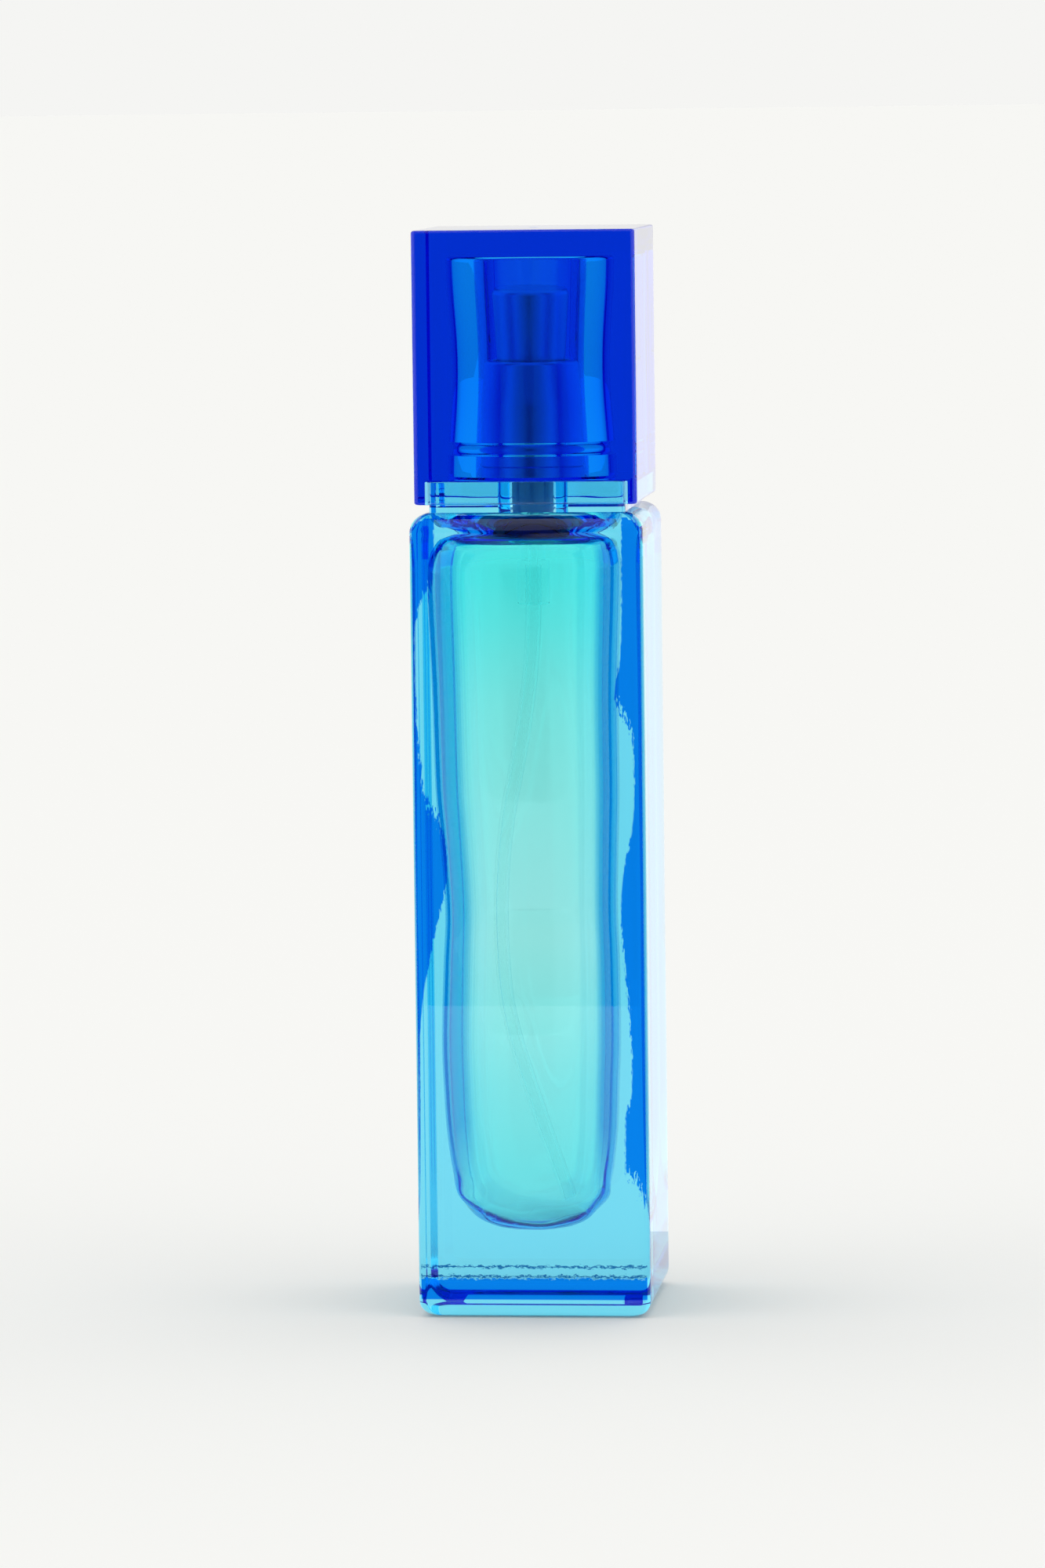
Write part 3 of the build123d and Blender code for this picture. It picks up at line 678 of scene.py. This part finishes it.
def make_cap(plastic):
    """The overcap: a solid block with a moulding gate on its crown, a recess, a snap ridge and a bore."""
    bm = bmesh.new()
    half, low, high = CAP_HIGH.x, CAP_LOW.z, CAP_HIGH.z
    sections = arc((half - CAP_EDGE, low + CAP_EDGE), CAP_EDGE, -90, 0, 4)
    sections += [(half, low + CAP_EDGE + (high - low - 2 * CAP_EDGE) * i / 12) for i in range(1, 12)]
    sections += arc((half - CAP_EDGE, high - CAP_EDGE), CAP_EDGE, 0, 90, 4)
    _, crown = square_rings(bm, sections, CAP_CORNER, 12)
    gate = round_ring(bm, GATE_R, high, 24)
    bmesh.ops.bridge_loops(bm, edges=crown + gate)
    gate = raise_ring(bm, gate, lambda co: Vector((co.x * 0.9, co.y * 0.9, high - GATE_DEPTH)))
    bmesh.ops.holes_fill(bm, edges=gate, sides=0)
    add_recess(bm, low)

    outline = [(bore_radius(RECESS_TOP) + 0.2, RECESS_TOP), (bore_radius(RECESS_TOP), RECESS_TOP + 0.2)]
    outline += [(bore_radius(z), z) for z in (RECESS_TOP + 1.0, SNAP_Z - SNAP_HALF)]
    for angle in (-60, -30, 0, 30, 60):
        outline.append((bore_radius(SNAP_Z) - SNAP_HEIGHT * math.cos(math.radians(angle)),
                        SNAP_Z + SNAP_HALF * math.sin(math.radians(angle))))
    start, end = SNAP_Z + SNAP_HALF, BORE_TOP - BORE_EDGE
    for i in range(25):
        height = start + (end - start) * i / 24
        outline.append((bore_radius(height), height))
    outline += arc((bore_radius(end) - BORE_EDGE, end), BORE_EDGE, 0, 90, 4)[1:]
    turned_shell(bm, outline)
    bmesh.ops.holes_fill(bm, edges=border_at(bm, BORE_TOP), sides=0)
    bmesh.ops.bridge_loops(bm, edges=border_at(bm, RECESS_TOP))
    keep_flats_flat(finish_piece("block_cap", bm, plastic, "cap", ["overcap"]))


# ---------------------------------------------------------------------------------- pump


def make_collar(metal):
    """The stepped collar: up its outside, over the turned-in rim, and down its inside."""
    bm = bmesh.new()
    low, high, foot_r = COLLAR_LOW.z, COLLAR_HIGH.z, COLLAR_HIGH.x
    outline = [(COLLAR_WALL_R, low + 0.02), (foot_r - 0.15, low), (foot_r, low + 0.15),
               (foot_r, COLLAR_STEP_Z - 0.15), (foot_r - 0.12, COLLAR_STEP_Z), (10.16, COLLAR_STEP_Z + 0.05),
               (10.03, 121.0), (9.97, 121.9), (9.84, 122.7)]
    outline += arc((COLLAR_RIM_R - COLLAR_RIM_EDGE, high - COLLAR_RIM_EDGE), COLLAR_RIM_EDGE, 8, 90, 8)
    outline += arc((COLLAR_MOUTH_R + COLLAR_LIP, high - COLLAR_LIP), COLLAR_LIP, 90, 180, 3)
    outline += [(COLLAR_MOUTH_R, high - 0.45), (8.8, high - 0.45), (9.5, 121.6), (9.65, COLLAR_STEP_Z),
                (COLLAR_WALL_R, low + 0.02)]
    turned_shell(bm, outline)
    finish_piece("collar_sleeve", bm, metal, "bottle", ["collar_shell"])


def make_button(metal):
    """The button's thin sheath, a little wider at the top, with its outer and inner faces."""
    bm = bmesh.new()
    low, high = BUTTON_LOW.z, BUTTON_HIGH.z
    edge = (BUTTON_TOP_R - BUTTON_EDGE, high - BUTTON_EDGE)
    outside = [(BUTTON_FOOT_R - BUTTON_WALL, low), (BUTTON_FOOT_R, low)]
    outside += arc(edge, BUTTON_EDGE, 0, 90, 8)
    outside += [(0.0, high)]
    turned_shell(bm, outside)
    inside = [(0.0, high - BUTTON_WALL)] + arc(edge, BUTTON_EDGE - BUTTON_WALL, 90, 0, 5)
    inside += [(BUTTON_FOOT_R - BUTTON_WALL, low)]
    turned_shell(bm, inside)
    finish_piece("button_sheath", bm, metal, "button", ["actuator_shell"])


def make_nozzle(plastic):
    """The spray nozzle, turned upright and then laid to face backwards out of the button."""
    bm = bmesh.new()
    low, high = span("nozzle_insert")
    radius = (high.x - low.x) / 2
    outline = NOZZLE_CONE + [(radius - 0.15, 0.0), (radius, -0.12), (radius, -NOZZLE_LENGTH),
                             (0.0, -NOZZLE_LENGTH)]
    turned_shell(bm, outline, 48)
    bmesh.ops.rotate(bm, cent=(0, 0, 0), matrix=Matrix.Rotation(math.radians(-90), 3, "X"), verts=bm.verts)
    bmesh.ops.translate(bm, vec=(0, high.y + NOZZLE_PROUD, (low.z + high.z) / 2), verts=bm.verts)
    finish_piece("spray_nozzle", bm, plastic, "button", ["nozzle_insert"])


def make_housing(plastic):
    """The pump barrel with its flange and tail socket."""
    bm = bmesh.new()
    turned_shell(bm, BARREL, 96)
    finish_piece("pump_barrel", bm, plastic, "bottle", ["pump_housing"])


def make_tube(plastic):
    """The dip tube: a long soft bow to the left wall and back to the right floor corner."""
    line = bpy.data.curves.new("tube_line", "CURVE")
    line.dimensions = "3D"
    spline = line.splines.new("NURBS")
    spline.points.add(len(TUBE_ROUTE) - 1)
    for point, (x, z) in zip(spline.points, TUBE_ROUTE):
        point.co = (x, 0, z, 1)
    spline.order_u = 3
    spline.use_endpoint_u = True
    spline.resolution_u = 14
    line.bevel_depth = TUBE_R
    line.bevel_resolution = 8
    holder = bpy.data.objects.new("tube_line", line)
    scene.collection.objects.link(holder)
    bpy.context.view_layer.update()
    mesh = bpy.data.meshes.new_from_object(holder.evaluated_get(bpy.context.evaluated_depsgraph_get()))
    bm = bmesh.new()
    bm.from_mesh(mesh)
    bpy.data.objects.remove(holder)
    bpy.data.meshes.remove(mesh)
    bmesh.ops.remove_doubles(bm, verts=bm.verts, dist=1e-4)
    bmesh.ops.recalc_face_normals(bm, faces=bm.faces)
    bmesh.ops.solidify(bm, geom=bm.faces[:], thickness=TUBE_WALL)
    finish_piece("dip_tube_bent", bm, plastic, "bottle", ["dip_tube"])


# ---------------------------------------------------------------------------------- studio

# These are in metres.
FLOOR_HALF = 20.0
FLOOR_FRONT = 0.35
FLOOR_DROP = 0.00005
CARD_HALF = 0.15
CARD_PLACE = (0.167, 0.06, 0.10)
TOP_SIZE = 0.9
TOP_PLACE = Vector((0.1, 0.15, 1.0))
TOP_AIM = Vector((0, 0, 0.05))
STUDIO_WHITE = "#f5f5f3"


def stage_sheet(name, half, place, finish, upright=False):
    """A square sheet of the studio, lying or standing, that isn't part of the object."""
    bm = bmesh.new()
    bmesh.ops.create_grid(bm, x_segments=1, y_segments=1, size=half)
    if upright:
        bmesh.ops.rotate(bm, cent=(0, 0, 0), matrix=Matrix.Rotation(math.radians(90), 3, "X"), verts=bm.verts)
    bmesh.ops.translate(bm, vec=place, verts=bm.verts)
    mesh = bpy.data.meshes.new(name)
    bm.to_mesh(mesh)
    bm.free()
    mesh.materials.append(finish)
    sheet = bpy.data.objects.new(name, mesh)
    scene.collection.objects.link(sheet)
    return sheet


def make_floor():
    """A pale matt floor in two halves; the front half is there for the camera alone, so glass stays clear."""
    made, tree, out = material("pale_floor")
    shade = add(tree, "BsdfPrincipled", {"Base Color": linear("#fafaf9"), "Roughness": 0.9,
                                         "Specular IOR Level": 0.0})
    tree.links.new(shade.outputs[0], out.inputs["Surface"])
    stage_sheet("floor_behind", FLOOR_HALF, (0, FLOOR_HALF - FLOOR_FRONT, -FLOOR_DROP), made)
    ahead = stage_sheet("floor_ahead", FLOOR_HALF, (0, -FLOOR_HALF - FLOOR_FRONT, -FLOOR_DROP), made)
    ahead.visible_glossy = False
    ahead.visible_transmission = False
    ahead.visible_diffuse = False


def make_card():
    """A bright card at the right rear: it lights the face that turns away."""
    made, tree, out = material("lit_card")
    glow = add(tree, "Emission", {"Color": linear(STUDIO_WHITE), "Strength": 1.35})
    tree.links.new(glow.outputs[0], out.inputs["Surface"])
    card = stage_sheet("rear_card", CARD_HALF, CARD_PLACE, made, upright=True)
    card.visible_camera = False
    card.visible_diffuse = False
    card.visible_shadow = False
    card.visible_transmission = False


def make_top_light():
    """A large soft light overhead, a little to the right and behind."""
    light = bpy.data.lights.new("top", "AREA")
    light.shape = "RECTANGLE"
    light.size = TOP_SIZE
    light.size_y = TOP_SIZE
    light.energy = 0.05
    light.color = linear("#ffffff")[:3]
    holder = bpy.data.objects.new("top", light)
    holder.location = TOP_PLACE
    holder.rotation_euler = (TOP_AIM - TOP_PLACE).to_track_quat("-Z", "Y").to_euler()
    scene.collection.objects.link(holder)


def make_room():
    """A pale room: brighter at the sides, dimmer in front, with a small dark spot that faces the bottle."""
    world = bpy.data.worlds.new("studio")
    scene.world = world
    world.use_nodes = True
    tree = world.node_tree
    ray = add(tree, "TexCoord")
    parts = add(tree, "SeparateXYZ", {0: ray.outputs["Generated"]})
    front = add(tree, "MapRange", {"Value": parts.outputs["Y"], "From Min": -0.45, "From Max": -0.93,
                                   "To Min": 1.0, "To Max": 0.55}, interpolation_type="SMOOTHSTEP")
    dark_spot = add(tree, "MapRange", {"Value": parts.outputs["Y"], "From Min": -0.97, "From Max": -0.987,
                                       "To Min": 1.0, "To Max": 0.05}, interpolation_type="SMOOTHSTEP")
    reach = add(tree, "Math", {0: parts.outputs["X"]}, operation="ABSOLUTE")
    sides = add(tree, "MapRange", {"Value": reach, "From Min": 0.30, "From Max": 0.75,
                                   "To Min": 1.0, "To Max": 1.31}, interpolation_type="SMOOTHSTEP")
    ahead = add(tree, "Math", {0: front, 1: dark_spot}, operation="MULTIPLY")
    glow = add(tree, "Math", {0: ahead, 1: sides}, operation="MULTIPLY")
    sky = tree.nodes["Background"]
    sky.inputs["Color"].default_value = linear(STUDIO_WHITE)
    tree.links.new(glow.outputs[0], sky.inputs["Strength"])


# Camera: angles in degrees, distance and aim in metres.
CAMERA_AZIMUTH = 5.95
CAMERA_ELEVATION = 5.4
CAMERA_ROLL = 0.69
CAMERA_DISTANCE = 1.001
CAMERA_AIM = Vector((-0.00234, 0, 0.0700))


def make_camera():
    """A long lens from about a metre, a little to the right and a little above."""
    azimuth, elevation = math.radians(CAMERA_AZIMUTH), math.radians(CAMERA_ELEVATION)
    away = Vector((math.sin(azimuth) * math.cos(elevation), -math.cos(azimuth) * math.cos(elevation),
                   math.sin(elevation)))
    camera = bpy.data.cameras.new("camera")
    camera.lens = 171.0
    camera.sensor_width = 36
    camera.clip_start = 0.01
    holder = bpy.data.objects.new("camera", camera)
    holder.location = CAMERA_AIM + away * CAMERA_DISTANCE
    turn = (-away).to_track_quat("-Z", "Y") @ Quaternion((0, 0, 1), -math.radians(CAMERA_ROLL))
    holder.rotation_euler = turn.to_euler()
    scene.collection.objects.link(holder)
    scene.camera = holder


make_camera()
metal, natural = bright_aluminium(), natural_polypropylene()
white = plain("white_polypropylene", "#ecebe8", 0.4)  # an opaque, slightly soft white
make_bottle(bottle_glass())
make_liquid(bottle_liquid())
make_cap(cap_plastic())
make_collar(metal)
make_button(metal)
make_nozzle(white)
make_housing(natural)
make_tube(natural)

# The pump's inner parts keep their CAD meshes, and only take a finish.
CARRIED = {
    "collar_clip": white,
    "crimp_ferrule": plain("lacquered_aluminium", "#c9cccf", 0.3, 1.0),  # duller than the collar
    "neck_gasket": plain("white_polyethylene", "#eef2f2", 0.5),  # a waxy white
    "pump_turret": natural,
    "stem_seal": plain("black_rubber", "#2a2b2c", 0.6),  # matt and nearly black
    "stem": natural,
    "stem_head": natural,
    "piston": natural,
    "precompression_spring": plain("spring_steel", "#9a9ca0", 0.25, 1.0),  # grey with sharp glints
    "return_spring": plain("drawn_spring_steel", "#9a9ca0", 0.25, 1.0),
    "inlet_ball": plain("polished_ball_steel", "#c8cacd", 0.1, 1.0),  # a bright, clear reflection
    "actuator_core": white,
}
for node_name, finish in CARRIED.items():
    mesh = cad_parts[node_name].data
    mesh.materials.clear()
    mesh.materials.append(finish)
make_floor()
make_room()
make_top_light()
make_card()

scene.view_settings.view_transform = "Standard"
scene.cycles.use_denoising = True
scene.cycles.max_bounces = 40
scene.cycles.transmission_bounces = 40
scene.cycles.glossy_bounces = 24
scene.cycles.sample_clamp_indirect = 12
